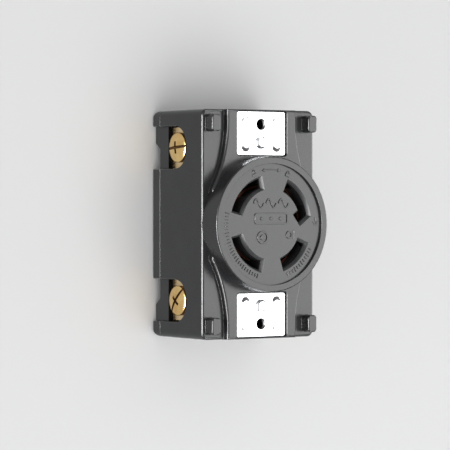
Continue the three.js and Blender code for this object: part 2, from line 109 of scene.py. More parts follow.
# A quarter has its side of the box, the angles between which its slot and its pocket's lips run round the
# face, and how far its terminal screw is turned. All angles are in degrees.
QUARTERS = {
    "upper_left": {"x": -1, "z": 1, "slot": (103, 166), "lipped": (132, 167), "turn": -5},
    "lower_left": {"x": -1, "z": -1, "slot": (194.5, 257.5), "lipped": (181, 258), "turn": -50},
    "lower_right": {"x": 1, "z": -1, "slot": (287.7, 337.7), "lipped": (274, 338), "turn": 75},
    "upper_right": {"x": 1, "z": 1, "slot": (9, 65.5), "lipped": (24, 50), "turn": 20},
}
GROUND = "upper_right"

# ---------------------------------------------------------------- outlines


def polar(radius, degrees, centre=(0.0, 0.0)):
    turn = math.radians(degrees)
    return (centre[0] + radius * math.cos(turn), centre[1] + radius * math.sin(turn))


def arc(radius, start, end, steps, centre=(0.0, 0.0)):
    return [polar(radius, start + (end - start) * i / steps, centre) for i in range(steps + 1)]


def circle(radius, steps=48, centre=(0.0, 0.0)):
    return arc(radius, 0, 360, steps, centre)[:-1]


def rectangle(x0, x1, z0, z1):
    return [(x0, z0), (x1, z0), (x1, z1), (x0, z1)]


def centred(half_width, half_height, x=0.0, z=0.0):
    return rectangle(x - half_width, x + half_width, z - half_height, z + half_height)


def fillet(outline, radii, steps=5):
    """The outline with its corners rounded. radii is one radius, or one for each corner."""
    count = len(outline)
    radii = [radii] * count if isinstance(radii, (int, float)) else radii
    points = [Vector(p) for p in outline]
    rounded = []
    for i, radius in enumerate(radii):
        corner = points[i]
        if radius <= 0:
            rounded.append(tuple(corner))
            continue
        to_last = (points[i - 1] - corner).normalized()
        to_next = (points[(i + 1) % count] - corner).normalized()
        half = to_last.angle(to_next) / 2
        middle = corner + (to_last + to_next).normalized() * radius / math.sin(half)
        start = corner + to_last * radius / math.tan(half) - middle
        sweep = start.angle_signed(corner + to_next * radius / math.tan(half) - middle)
        for step in range(steps + 1):
            turn = Matrix.Rotation(-sweep * step / steps, 2)
            rounded.append(tuple(middle + turn @ start))
    return rounded


def offset(outline, distance):
    """The closed outline moved outwards by a distance, with mitred corners."""
    count = len(outline)
    points = [Vector(p) for p in outline]
    area = sum(points[i - 1].cross(points[i]) for i in range(count))
    side = distance if area > 0 else -distance
    moved = []
    for i in range(count):
        before = (points[i] - points[i - 1]).normalized()
        after = (points[(i + 1) % count] - points[i]).normalized()
        normals = Vector((before.y + after.y, -before.x - after.x))
        moved.append(tuple(points[i] + normals * side / (1 + before.dot(after))))
    return moved


def ring_part(inner, outer, start, end, steps=20):
    return arc(outer, start, end, steps) + arc(inner, end, start, steps)


def stroke(points, width):
    """The outline of a line of a given width, along an open path."""
    path = [Vector(p) for p in points]
    sides = []
    for i, point in enumerate(path):
        before = (point - path[i - 1]).normalized() if i else None
        after = (path[i + 1] - point).normalized() if i + 1 < len(path) else before
        before = before or after
        across = Vector((before.y + after.y, -before.x - after.x)) / (1 + before.dot(after))
        sides.append((point + across * width / 2, point - across * width / 2))
    return [tuple(a) for a, _ in sides] + [tuple(b) for _, b in reversed(sides)]


def quarter_round(start, radius, steps=5, way=1):
    """Levels (depth, offset) that round an edge: way 1 at the front of a solid, -1 at its back."""
    levels = []
    for i in range(steps + 1):
        turn = math.pi / 2 * i / steps
        levels.append((start + way * radius * (1 - math.cos(turn)), radius * (math.sin(turn) - 1)))
    return levels[::way]


# ---------------------------------------------------------------- solids

AXES = {
    "X": lambda depth, a, b: (depth, a, b),
    "Y": lambda depth, a, b: (a, depth, b),
    "Z": lambda depth, a, b: (a, b, depth),
}


def to_mesh(bm):
    bmesh.ops.recalc_face_normals(bm, faces=bm.faces)
    mesh = bpy.data.meshes.new("solid")
    bm.to_mesh(mesh)
    bm.free()
    return mesh


def loft(levels, axis="Y"):
    """A closed solid through outlines of one length, each given as (depth, outline)."""
    place = AXES[axis]
    bm = bmesh.new()
    rings = [[bm.verts.new(place(depth, *point)) for point in outline] for depth, outline in levels]
    for first, second in zip(rings, rings[1:]):
        for i in range(len(first)):
            bm.faces.new((first[i - 1], first[i], second[i], second[i - 1]))
    bm.faces.new(rings[0])
    bm.faces.new(rings[-1])
    return to_mesh(bm)


def shaped(outline, levels):
    """One outline carried through levels of (depth, offset)."""
    return loft([(depth, offset(outline, grow)) for depth, grow in levels])


def prism(outline, front, back, axis="Y"):
    return loft([(front, outline), (back, outline)], axis)


def box(xs, ys, zs):
    return prism(rectangle(min(xs), max(xs), min(zs), max(zs)), min(ys), max(ys))


def turned(profile, steps, centre=(0.0, 0.0), axis="Y"):
    """A solid of revolution. The profile is a list of (radius, depth) that starts and ends on the axis."""
    inner = [point for point in profile if point[0] > 0]
    place = AXES[axis]
    bm = bmesh.new()
    rings = []
    for radius, depth in inner:
        rings.append([bm.verts.new(place(depth, *point)) for point in circle(radius, steps, centre)])
    for first, second in zip(rings, rings[1:]):
        for i in range(steps):
            bm.faces.new((first[i - 1], first[i], second[i], second[i - 1]))
    bm.faces.new(rings[0])
    bm.faces.new(rings[-1])
    return to_mesh(bm)


def cone(start_radius, start, end_radius, end, steps=32, centre=(0.0, 0.0), axis="Y"):
    return turned([(0, start), (start_radius, start), (end_radius, end), (0, end)], steps, centre, axis)


def rod(radius, start, end, steps=32, centre=(0.0, 0.0), axis="Y"):
    return cone(radius, start, radius, end, steps, centre, axis)


def thread(radius, depth, pitch, start, end, steps=32, rows=5):
    """A screw thread along Z: a bar whose surface rises and falls once in each pitch."""
    count = int((end - start) / pitch * rows)
    bm = bmesh.new()
    rings = []
    for level in range(count + 1):
        height = start + (end - start) * level / count
        ring = []
        for i in range(steps):
            phase = (height / pitch - i / steps) % 1.0
            crest = radius - depth * min(1.0, 2.4 * abs(phase - 0.5))
            ring.append(bm.verts.new((*polar(crest, 360 * i / steps), height)))
        rings.append(ring)
    for first, second in zip(rings, rings[1:]):
        for i in range(steps):
            bm.faces.new((first[i - 1], first[i], second[i], second[i - 1]))
    bm.faces.new(rings[0])
    bm.faces.new(rings[-1])
    return to_mesh(bm)


def moved(mesh, matrix):
    mesh.transform(matrix)
    if matrix.determinant() < 0:
        mesh.flip_normals()
    return mesh


def applied(obj):
    """The object's mesh with its modifiers applied. The object is removed."""
    bpy.context.view_layer.update()
    depsgraph = bpy.context.evaluated_depsgraph_get()
    mesh = bpy.data.meshes.new_from_object(obj.evaluated_get(depsgraph))
    bpy.data.objects.remove(obj)
    return mesh


def scratch(mesh):
    obj = bpy.data.objects.new("scratch", mesh)
    bpy.context.scene.collection.objects.link(obj)
    return obj


def combine(operation, base, tools):
    body = scratch(base)
    helpers = [scratch(tool) for tool in tools]
    for helper in helpers:
        modifier = body.modifiers.new("combine", "BOOLEAN")
        modifier.operation = operation
        modifier.solver = "MANIFOLD"
        modifier.object = helper
    mesh = applied(body)
    for helper in helpers:
        bpy.data.objects.remove(helper)
    return mesh


def join(base, *tools):
    return combine("UNION", base, tools)


def cut(base, *tools):
    return combine("DIFFERENCE", base, tools)


def common(base, *tools):
    return combine("INTERSECT", base, tools)


def refined(node, bevel):
    """A CAD node's shape with its sharp edges broken, in millimetres."""
    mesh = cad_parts[node].data.copy()
    mesh.transform(Matrix.Scale(1 / MM, 4))
    bm = bmesh.new()
    bm.from_mesh(mesh)
    bmesh.ops.remove_doubles(bm, verts=bm.verts, dist=0.001)
    bmesh.ops.dissolve_limit(bm, angle_limit=math.radians(0.5), verts=bm.verts, edges=bm.edges)
    obj = scratch(to_mesh(bm))
    modifier = obj.modifiers.new("bevel", "BEVEL")
    modifier.width = bevel
    modifier.segments = 2
    modifier.limit_method = "ANGLE"
    modifier.angle_limit = math.radians(40)
    modifier.miter_outer = "MITER_ARC"
    return applied(obj)


# ---------------------------------------------------------------- materials


class Nodes:
    """A small helper that adds and joins the nodes of one material."""

    def __init__(self, name):
        self.material = bpy.data.materials.new(name)
        self.material.use_nodes = True
        self.tree = self.material.node_tree
        self.tree.nodes.clear()
        self.output = self.add("ShaderNodeOutputMaterial")
        self.shader = self.add("ShaderNodeBsdfPrincipled")
        self.join(self.shader, 0, self.output, "Surface")

    def add(self, kind, **settings):
        node = self.tree.nodes.new(kind)
        for key, value in settings.items():
            setattr(node, key, value)
        return node

    def join(self, source, output, target, entry):
        self.tree.links.new(source.outputs[output], target.inputs[entry])

    def place(self, stretch=(1, 1, 1)):
        """The point on the piece, in metres, stretched along the axes."""
        where = self.add("ShaderNodeTexCoord")
        mapping = self.add("ShaderNodeMapping")
        mapping.inputs["Scale"].default_value = stretch
        self.join(where, "Object", mapping, "Vector")
        return mapping

    def noise(self, size, detail=2.0, stretch=(1, 1, 1)):
        """Noise whose features are about this size, in millimetres."""
        node = self.add("ShaderNodeTexNoise")
        node.inputs["Scale"].default_value = 1 / (size * MM)
        node.inputs["Detail"].default_value = detail
        self.join(self.place(stretch), 0, node, "Vector")
        return node

    def spread(self, source, output, low, high, start=0.3, end=0.7):
        """The source's values between start and end, carried to low and high."""
        node = self.add("ShaderNodeMapRange")
        for entry, value in zip(("From Min", "From Max", "To Min", "To Max"), (start, end, low, high)):
            node.inputs[entry].default_value = value
        self.join(source, output, node, "Value")
        return node

    def tint(self, source, output, dark, light):
        """The shader's colour, from dark at 0 to light at 1."""
        node = self.add("ShaderNodeMix", data_type="RGBA")
        node.inputs["A"].default_value = (*dark, 1)
        node.inputs["B"].default_value = (*light, 1)
        self.join(source, output, node, "Factor")
        self.join(node, "Result", self.shader, "Base Color")

    def bump(self, source, output, height, strength=1.0, under=None):
        """Relief of this height, in millimetres, over another relief if there is one."""
        node = self.add("ShaderNodeBump")
        node.inputs["Distance"].default_value = height * MM
        node.inputs["Strength"].default_value = strength
        self.join(source, output, node, "Height")
        if under is not None:
            self.join(under, "Normal", node, "Normal")
        self.join(node, "Normal", self.shader, "Normal")
        return node


def moulded(name, dark, light, roughness):
    """Satin thermoset moulding: faint flow clouds, fine spark-eroded grain and uneven gloss."""
    nodes = Nodes(name)
    clouds = nodes.noise(7.0, 3.0)
    speck = nodes.noise(0.5, 2.0)
    grains = nodes.noise(0.16, 2.0)
    uneven = 0.015
    blend = nodes.add("ShaderNodeMath", operation="MULTIPLY")
    nodes.join(clouds, "Fac", blend, 0)
    nodes.join(speck, "Fac", blend, 1)
    nodes.tint(nodes.spread(blend, 0, 0, 1, 0.15, 0.38), 0, dark, light)
    gloss = nodes.spread(clouds, "Fac", roughness - uneven, roughness + uneven, 0.2, 0.8)
    nodes.join(gloss, 0, nodes.shader, "Roughness")
    swell = nodes.bump(nodes.noise(2.4, 1.0), "Fac", 0.003, 0.5)
    nodes.bump(grains, "Fac", 0.004, 0.8, swell)
    return nodes.material


def plated(name, dark, light, roughness, stretch=(1, 1, 1), spangle=1.2, scratch_relief=0.004):
    """Plated or rolled metal: crystal patches in the colour, drawn marks in the gloss and relief."""
    nodes = Nodes(name)
    nodes.shader.inputs["Metallic"].default_value = 1.0
    cells = nodes.add("ShaderNodeTexVoronoi")
    cells.inputs["Scale"].default_value = 1 / (spangle * MM)
    nodes.join(nodes.place(), 0, cells, "Vector")
    tarnish = nodes.noise(3.0, 4.0)
    blend = nodes.add("ShaderNodeMath", operation="MULTIPLY_ADD")
    blend.inputs[1].default_value = 0.25
    nodes.join(cells, "Distance", blend, 0)
    nodes.join(tarnish, "Fac", blend, 2)
    nodes.tint(nodes.spread(blend, 0, 0, 1, 0.35, 0.85), 0, dark, light)
    drawn = nodes.noise(0.12, 3.0, stretch)
    gloss = nodes.spread(drawn, "Fac", roughness - 0.05, roughness + 0.08)
    nodes.join(gloss, 0, nodes.shader, "Roughness")
    nodes.bump(drawn, "Fac", scratch_relief, 0.6)
    return nodes.material


LOOKS = {
    "housing_plastic": moulded("housing_plastic", (0.022, 0.0225, 0.024), (0.029, 0.0295, 0.031), 0.26),
    # A lighter grey for the slots' lead-ins: painted light, standing for the light that falls on those
    # walls.
    "painted_light_plastic": moulded("painted_light_plastic", (0.05, 0.051, 0.053), (0.09, 0.092, 0.095), 0.42),
    "cover_plastic": moulded("cover_plastic", (0.022, 0.0225, 0.0235), (0.029, 0.0295, 0.0305), 0.29),
    # Darker than the housing's plastic: painted shade for the deep inside of the slots.
    "block_plastic": moulded("block_plastic", (0.006, 0.006, 0.0062), (0.010, 0.010, 0.0105), 0.55),
    # Dark steel for the ears' tapped holes and the ribs' boss-facing ends: painted shade in the holes, and a
    # painted reflection of the dark boss on the rib ends.
    "painted_shade_and_reflection_steel": plated("painted_shade_and_reflection_steel", (0.10, 0.10, 0.105), (0.16, 0.16, 0.165), 0.42),
    "zinc_steel": plated("zinc_steel", (0.74, 0.76, 0.78), (0.86, 0.87, 0.88), 0.24, (1, 1, 0.12), 2.2),
    "strap_steel": plated("strap_steel", (0.52, 0.53, 0.54), (0.66, 0.67, 0.68), 0.36, (1, 1, 0.1)),
    "clamp_steel": plated("clamp_steel", (0.50, 0.50, 0.50), (0.64, 0.64, 0.63), 0.4, (1, 0.1, 1)),
    "screw_steel": plated("screw_steel", (0.46, 0.47, 0.48), (0.62, 0.63, 0.64), 0.33),
    "screw_brass": plated("screw_brass", (0.74, 0.47, 0.17), (0.92, 0.64, 0.27), 0.2, (1, 1, 1), 1.6, 0.012),
    # Darkened brass for the screws' recesses and head walls: painted shade.
    "painted_shade_brass": plated("painted_shade_brass", (0.07, 0.035, 0.012), (0.16, 0.085, 0.03), 0.42),
    "ground_screw_green": plated("ground_screw_green", (0.05, 0.20, 0.07), (0.10, 0.34, 0.12), 0.28),
    # Darkened green for the ground screw's recess and head wall: painted shade.
    "painted_shade_green": plated("painted_shade_green", (0.012, 0.04, 0.015), (0.025, 0.08, 0.03), 0.42),
    "terminal_brass": plated("terminal_brass", (0.62, 0.44, 0.22), (0.80, 0.61, 0.36), 0.26, (1, 0.12, 1)),
    "rivet_brass": plated("rivet_brass", (0.62, 0.44, 0.20), (0.80, 0.60, 0.32), 0.34),
    # Copper darkened as painted shade, for the contacts deep inside the slots.
    "contact_copper": plated("contact_copper", (0.09, 0.03, 0.018), (0.19, 0.07, 0.04), 0.4, (1, 0.15, 1)),
}

# ---------------------------------------------------------------- placing a piece


def piece(name, mesh, finish, body="root", replaces=(), crease=32, second=None):
    """A finished piece: metres, smooth between creases, with normals that keep its flat faces flat.

    A second finish, where there is one, goes on the faces whose middle (mm) and normal pass its test.
    """
    bm = bmesh.new()
    bm.from_mesh(mesh)
    bmesh.ops.remove_doubles(bm, verts=bm.verts, dist=0.0005)
    bmesh.ops.dissolve_degenerate(bm, edges=bm.edges, dist=0.0005)
    bm.to_mesh(mesh)
    bm.free()
    mesh.transform(Matrix.Scale(MM, 4))
    mesh.name = name
    mesh.polygons.foreach_set("use_smooth", [True] * len(mesh.polygons))
    mesh.set_sharp_from_angle(angle=math.radians(crease))
    obj = scratch(mesh)
    weighted = obj.modifiers.new("normals", "WEIGHTED_NORMAL")
    weighted.keep_sharp = True
    weighted.weight = 80
    mesh = applied(obj)
    mesh.materials.clear()
    mesh.materials.append(LOOKS[finish])
    if second:
        look, test = second
        mesh.materials.append(LOOKS[look])
        for face in mesh.polygons:
            face.material_index = int(test(face.center / MM, face.normal))
    obj = bpy.data.objects.new(name, mesh)
    bpy.context.scene.collection.objects.link(obj)
    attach(obj, body)
    if replaces:
        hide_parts(*replaces)
    return obj


# ---------------------------------------------------------------- front housing


def box_outline():
    return fillet(centred(HALF_WIDTH, HALF_HEIGHT), CORNER, 6)


def island_outline(end):
    """Straight near the ends, then flaring on an arc towards the boss."""
    radius = ISLAND["flare_radius"]
    edge = []
    steps = 16
    for i in range(steps + 1):
        z = ISLAND["merge"] + (ISLAND["flare_start"] - ISLAND["merge"]) * i / steps
        drop = ISLAND["flare_start"] - z
        edge.append((ISLAND["half_width"] + radius - math.sqrt(radius**2 - drop**2), z))
    edge.append((ISLAND["half_width"], end))
    right = [(x, -z) for x, z in reversed(edge)] + edge
    return right + [(-x, z) for x, z in reversed(right)]


def foot_fillet(start, reach, height, steps=4):
    """Levels that spread a wall's foot in a concave curve onto the surface that it stands on."""
    levels = []
    for i in range(steps + 1):
        turn = math.pi / 2 * i / steps
        levels.append((start + height * math.sin(turn), reach * (1 - math.cos(turn))))
    return levels


def island():
    """The raised panel between the ears, with rounded edges and a small fillet at its foot."""
    past_end = HALF_HEIGHT + 3
    spread = 0.1
    levels = quarter_round(ISLAND_FRONT, ISLAND["round"]) + foot_fillet(STRIP - spread, spread, spread)
    body = shaped(island_outline(past_end), levels + [(WALL_BACK - 0.5, spread)])
    envelope = shaped(box_outline(), quarter_round(ISLAND_FRONT, ISLAND["round"]) + [(WALL_BACK, 0)])
    return common(body, envelope)


def corner_post(sx, sz):
    spread, height = 0.1, 0.12
    outline = centred(POST["half_width"], POST["half_height"], sx * POST["x"], sz * POST["z"])
    levels = quarter_round(POST_FRONT, POST["round"]) + foot_fillet(STRIP - height, spread, height)
    return shaped(fillet(outline, POST["corner"], 5), levels + [(STRIP + 0.8, spread)])


def boss():
    corners = [(0, RIM), (BOSS["radius"], RIM), (BOSS["radius"], WALL_BACK), (0, WALL_BACK)]
    return turned(fillet(corners, [0, BOSS["round"], 0, 0], 6), 144)


def face_recess():
    """The space over the socket face, with the rim's inner edge broken."""
    edge = 0.06
    radius = BOSS["face"]
    profile = [
        (0, RIM - 1), (radius + edge, RIM - 1), (radius + edge, RIM),
        (radius, RIM + edge), (radius, FACE), (0, FACE),
    ]
    return turned(profile, 144)


def slot_cut(outline):
    """A blade slot: a tapered lead-in all round, then straight walls."""
    taper, depth = SLOT["taper"], SLOT["taper_depth"]
    mouth = 0.06
    levels = [
        (FACE - 0.8, mouth), (FACE, mouth), (FACE + 0.08, -0.04),
        (depth, -taper), (FACE_BACK + 1, -taper - 0.02),
    ]
    return shaped(outline, levels)


def foot_outline():
    """The foot of the ground slot's L: a rectangle whose sides lie along and across the slot's radius."""
    out = Vector(polar(1, FOOT["angle"]))
    across = Vector((out.y, -out.x))

    def place(reach, side):
        return tuple(out * reach + across * side)

    return [
        place(FOOT["low"], FOOT["near"]), place(FOOT["low"], FOOT["far"]),
        place(FOOT["high"], FOOT["far"]), place(FOOT["high"], FOOT["near"]),
    ]


def window_cut(sx, sz):
    """A terminal's window, round at the front and open to the joint at the back, with its edge broken."""
    middle = (WINDOW["depth"], sz * WINDOW["z"])
    radius = WINDOW["radius"]
    outline = arc(radius, 90, 270, 28, middle)
    outline += [(JOINT + 2, middle[1] - radius), (JOINT + 2, middle[1] + radius)]
    inside = HALF_WIDTH - WALL - 0.6
    side = HALF_WIDTH - 0.18
    levels = [(inside, 0), (side - 0.1, 0), (side, 0.05), (side + 0.1, 0.16), (side + 1, 1.1)]
    return loft([(sx * x, offset(outline, grow)) for x, grow in levels], "X")


def pocket_walls(sx, sz):
    """Walls that form one terminal's pocket inside the housing, and the pillar that its screw bites in."""
    side = HALF_WIDTH - WALL + 0.5
    end = HALF_HEIGHT - WALL + 0.5
    front = WALL_BACK - 0.5
    back = PLUG - 0.3
    inner, low, high = POCKET["inner"], POCKET["low"], POCKET["high"]
    across = (sx * inner, sx * side)
    return [
        box(across, (front, POCKET["floor"]), (sz * low, sz * end)),
        box(across, (front, back), (sz * high, sz * end)),
        box((sx * (inner - 0.8), sx * (inner + 0.2)), (front, back), (sz * low, sz * (high + 0.1))),
        box(across, (front, POCKET["shelf_back"]), (sz * (low - 0.6), sz * (low + 0.4))),
        rod(PILLAR["radius"], front, back, 32, (sx * PILLAR["x"], sz * PILLAR["z"])),
    ]


def ear_pocket(sz):
    """The island's pocket for an ear, with the clearance holes under it."""
    low, high = EAR_LOW.z - EAR_GAP, EAR_HIGH.z + 0.2
    outline = fillet(centred(EAR_HIGH.x + EAR_GAP, (high - low) / 2, 0, sz * (low + high) / 2), 0.9, 4)
    floor = EAR_HIGH.y + 0.2
    edge = 0.08
    levels = [(ISLAND_FRONT - 1, edge), (ISLAND_FRONT, edge), (ISLAND_FRONT + 0.1, 0), (floor, 0)]
    return [
        shaped(outline, levels),
        rod(EAR_HOLE["radius"] + 0.5, floor - 1, WALL_BACK + 1, 32, (0, sz * EAR_HOLE["z"])),
        rod(EAR_RIVET["hole"], floor - 1, WALL_BACK + 1, 32, (0, sz * EAR_RIVET["z"])),
    ]


# ---------------------------------------------------------------- marks on the socket face

MARK = {"height": 0.26, "width": 0.42, "edge": 0.07}


def mark(outline):
    """A raised mark with this outline, its upper edge broken."""
    top = FACE - MARK["height"]
    return shaped(outline, [(top, -MARK["edge"]), (top + MARK["edge"], 0), (FACE + 0.3, 0)])


def line_mark(points, width=MARK["width"]):
    return mark(stroke(points, width))


def lock_arrow():
    """A double arrow over the face: the plug turns to lock and back to free."""
    radius = 16.35
    reach = 9.0
    width = 0.3
    shaft = line_mark(arc(radius, 90 + reach, 90 - reach, 10), width)
    heads = []
    for way in (1, -1):
        tip = polar(radius, 90 + way * (reach + 3.0))
        base = 90 + way * (reach - 0.4)
        heads.append(mark([tip, polar(radius - 0.55, base), polar(radius + 0.55, base)]))
    return [shaft, *heads]


def padlock(degrees, is_open):
    """A padlock pictogram on the rim of the face, upright along its radius."""
    middle = Vector(polar(16.1, degrees))
    up = middle.normalized()
    right = Vector((up.y, -up.x))

    def place(a, b):
        return tuple(middle + right * a + up * b)

    lift = 0.28 if is_open else 0.0
    body = mark([place(-0.75, -0.7), place(0.75, -0.7), place(0.75, 0.25), place(-0.75, 0.25)])
    legs = [(0.5, 0.42 if is_open else 0.05)] + arc(0.5, 0, 180, 8, (0.0, 0.5 + lift))
    if not is_open:
        legs.append((-0.5, 0.05))
    return [body, line_mark([place(a, b) for a, b in legs], 0.26)]


def wave(centre, length, height):
    steps = 16
    points = []
    for i in range(steps + 1):
        share = i / steps
        x = centre[0] + length * (share - 0.5)
        z = centre[1] + height * math.sin(share * 2 * math.pi)
        points.append((x, z))
    return line_mark(points)


def phase_marks():
    """Three waves for the three phases, over a frame with three dots."""
    marks = [wave((x, 6.3), 3.7, 1.25) for x in (-4.55, 0.0, 4.55)]
    marks.append(ring_frame(fillet(centred(5.9, 1.5, 0, 1.7), 0.7, 4)))
    marks += [mark(circle(0.52, 16, (x, 1.7))) for x in (-3.4, 0.0, 3.4)]
    return marks


def ring_frame(outline):
    """A closed line of the marks' width along an outline."""
    half = MARK["width"] / 2
    return cut(mark(offset(outline, half)), prism(offset(outline, -half), FACE - 1, FACE + 1))


def plain_marks():
    """Two plain pictograms: a disc in a ring, and a ring with a stroke beside it."""
    left, right = (-3.2, -3.9), (6.6, -3.2)
    return [
        ring_frame(circle(1.75, 32, left)),
        mark(circle(0.85, 24, left)),
        ring_frame(circle(0.95, 24, right)),
        line_mark([(right[0] + 1.75, right[1] - 1.4), (right[0] + 1.75, right[1] + 1.4)], 0.36),
    ]


def ground_mark():
    """The earth symbol beside the ground slot: a stem and three bars that shorten outwards."""
    x, z = 16.3, 0.6
    marks = [line_mark([(x, z + 1.35), (x, z + 0.3)], 0.3)]
    for i, half in enumerate((0.95, 0.62, 0.3)):
        level = z - 0.52 * i
        marks.append(line_mark([(x - half, level), (x + half, level)], 0.26))
    return [join(*marks[:2]), *marks[2:]]


def scale_ticks(start, end, count, long_every=3):
    """Dial ticks round the edge of the face."""
    middle = 16.2
    marks = []
    for i in range(count):
        degrees = start + (end - start) * i / (count - 1)
        reach = 0.95 if i % long_every else 1.35
        ends = [polar(middle - reach / 2, degrees), polar(middle + reach / 2, degrees)]
        marks.append(line_mark(ends, 0.3))
    return marks


def face_marks():
    return [
        *lock_arrow(), *padlock(112, True), *padlock(68, False),
        *phase_marks(), *plain_marks(), *ground_mark(),
        *scale_ticks(168, 252, 25), *scale_ticks(292, 332, 12),
    ]


def drafted_ends():
    """What the box's ends are trimmed to: they narrow a little towards the joint and run straight on."""
    front, back = HALF_HEIGHT, HALF_HEIGHT - DRAFT
    depths = (RIM - 1, STRIP, JOINT, BACK + 1)
    upper = list(zip(depths, (front, front, back, back)))
    outline = upper + [(depth, -z) for depth, z in reversed(upper)]
    return prism(outline, -HALF_WIDTH - 1, HALF_WIDTH + 1, "X")


def front_housing():
    """The housing in one moulding: box, island, boss, posts and inner walls, then every opening in it."""
    levels = quarter_round(STRIP, EDGE_ROUND, 6) + [(JOINT - JOINT_EDGE, 0), (JOINT, -JOINT_EDGE)]
    hollow = prism(fillet(centred(HALF_WIDTH - WALL, HALF_HEIGHT - WALL), 0.8, 3), WALL_BACK, JOINT + 1)
    shell = cut(common(shaped(box_outline(), levels), drafted_ends()), hollow)
    corners = [(quarter["x"], quarter["z"]) for quarter in QUARTERS.values()]
    walls = [wall for corner in corners for wall in pocket_walls(*corner)]
    posts = [corner_post(*corner) for corner in corners]
    body = join(shell, island(), boss(), *posts, *walls)
    inner = rod(BOSS["inner"], FACE_BACK, WALL_BACK + 1, 96)
    arcs = [ring_part(SLOT["inner"], SLOT["outer"], *quarter["slot"]) for quarter in QUARTERS.values()]
    slots = [slot_cut(outline) for outline in arcs]
    windows = [window_cut(*corner) for corner in corners]
    pockets = ear_pocket(1) + ear_pocket(-1)
    pilots = [
        rod(PILLAR["hole"], PILLAR["hole_from"], JOINT, 24, (sx * PILLAR["x"], sz * PILLAR["z"]))
        for sx, sz in corners
    ]
    body = cut(body, face_recess(), inner, *slots, slot_cut(foot_outline()), *windows, *pockets, *pilots)
    body = join(body, *face_marks())

    def lead_in(middle, normal):
        """The sloping faces in the slots' mouths. They get a lighter grey: painted light on the lead-ins."""
        on_face = math.hypot(middle.x, middle.z) < SLOT["outer"] + 1.65
        return on_face and FACE < middle.y < SLOT["taper_depth"] and 0.3 < -normal.y < 0.8

    return piece(
        "housing", body, "housing_plastic", replaces=["front_housing"],
        second=("painted_light_plastic", lead_in),
    )


# ---------------------------------------------------------------- back plate

PLUG_WIDTH = HALF_WIDTH - WALL - 0.3
PLUG_HEIGHT = HALF_HEIGHT - WALL - 0.3
TONGUE_FACE = HALF_WIDTH - WINDOW["recess"]


def tongue(sx, sz):
    """The tongue that closes the back of a window: it steps in towards its tip, and is open behind."""
    middle = sz * WINDOW["z"]
    reach = WINDOW["radius"] - 0.1
    tip = WINDOW["depth"] + 4.8
    skin = TONGUE_FACE - 0.6
    inside = 15.0
    sections = [(PLUG_WIDTH - 0.5, tip + 1.4), (skin, tip + 1.0), (TONGUE_FACE, tip)]
    levels = []
    for x, front in sections:
        levels.append((sx * x, rectangle(front, JOINT + 0.6, middle - reach, middle + reach)))
    low, high = middle - WINDOW["radius"], middle + WINDOW["radius"]
    behind = box((sx * inside, sx * skin), (PLUG - 5, PLUG), (low, high))
    return cut(loft(levels, "X"), behind)


def side_recess(sx, sz):
    """The shallow recess in the cover's side, behind a window."""
    middle = sz * WINDOW["z"]
    low, high = middle - WINDOW["radius"], middle + WINDOW["radius"]
    outline = fillet(rectangle(PLUG - 5, BACK + 1, low, high), 0.3, 3)
    face = TONGUE_FACE
    levels = [(face, 0), (face + 0.6, 0), (face + 2, 0.5)]
    return loft([(sx * x, offset(outline, grow)) for x, grow in levels], "X")


def wire_notch(sx, sz):
    """The notch in the cover's back edge, with one slanted end, where a wire goes in."""
    low = WINDOW["z"] - WINDOW["radius"]
    past = BACK + 1
    slant = (NOTCH["slant"] - NOTCH["deep"]) / (BACK - NOTCH["floor"])
    corners = [
        (past, low), (NOTCH["floor"], low), (NOTCH["floor"], NOTCH["deep"]), (past, NOTCH["slant"] + slant),
    ]
    outline = fillet([(depth, sz * z) for depth, z in corners], [0, 0.25, 0.6, 0], 3)
    return prism(outline, sx * NOTCH["inner"], sx * (HALF_WIDTH + 1), "X")


def wire_holes(sx, sz):
    """A terminal's two wire holes, one in the notch and one beside it, each with a funnelled mouth."""
    radius = WIRE["radius"]
    mouth = 0.35
    holes = []
    for step in (-WIRE["step"], WIRE["step"]):
        surface = NOTCH["floor"] if step * sz < 0 else BACK
        funnel = [
            (0, PLUG - 1), (radius, PLUG - 1), (radius, surface - mouth),
            (radius + mouth, surface), (radius + mouth, BACK + 1), (0, BACK + 1),
        ]
        holes.append(turned(funnel, 36, (sx * WIRE["x"], sz * WINDOW["z"] + step)))
    return holes


def screw_bore(sx, sz):
    """The counterbore for a cover screw, with its edge broken."""
    seat, radius = CASE_SCREW["seat"], CASE_SCREW["seat_radius"]
    edge = 0.2
    profile = [
        (0, PLUG - 1), (PILLAR["hole"], PLUG - 1), (PILLAR["hole"], seat), (radius, seat),
        (radius, BACK - edge), (radius + 2 * edge, BACK + edge), (0, BACK + edge),
    ]
    return turned(profile, 40, (sx * PILLAR["x"], sz * PILLAR["z"]))


def cover_press(sx):
    """A peg in the cover that holds the parts inside the housing down."""
    front, radius, edge = 22.3, 1.8, 0.3
    back = PLUG + 0.5
    profile = [(0, front), (radius - edge, front), (radius, front + edge), (radius, back), (0, back)]
    return turned(profile, 32, (sx * 14.5, 0))


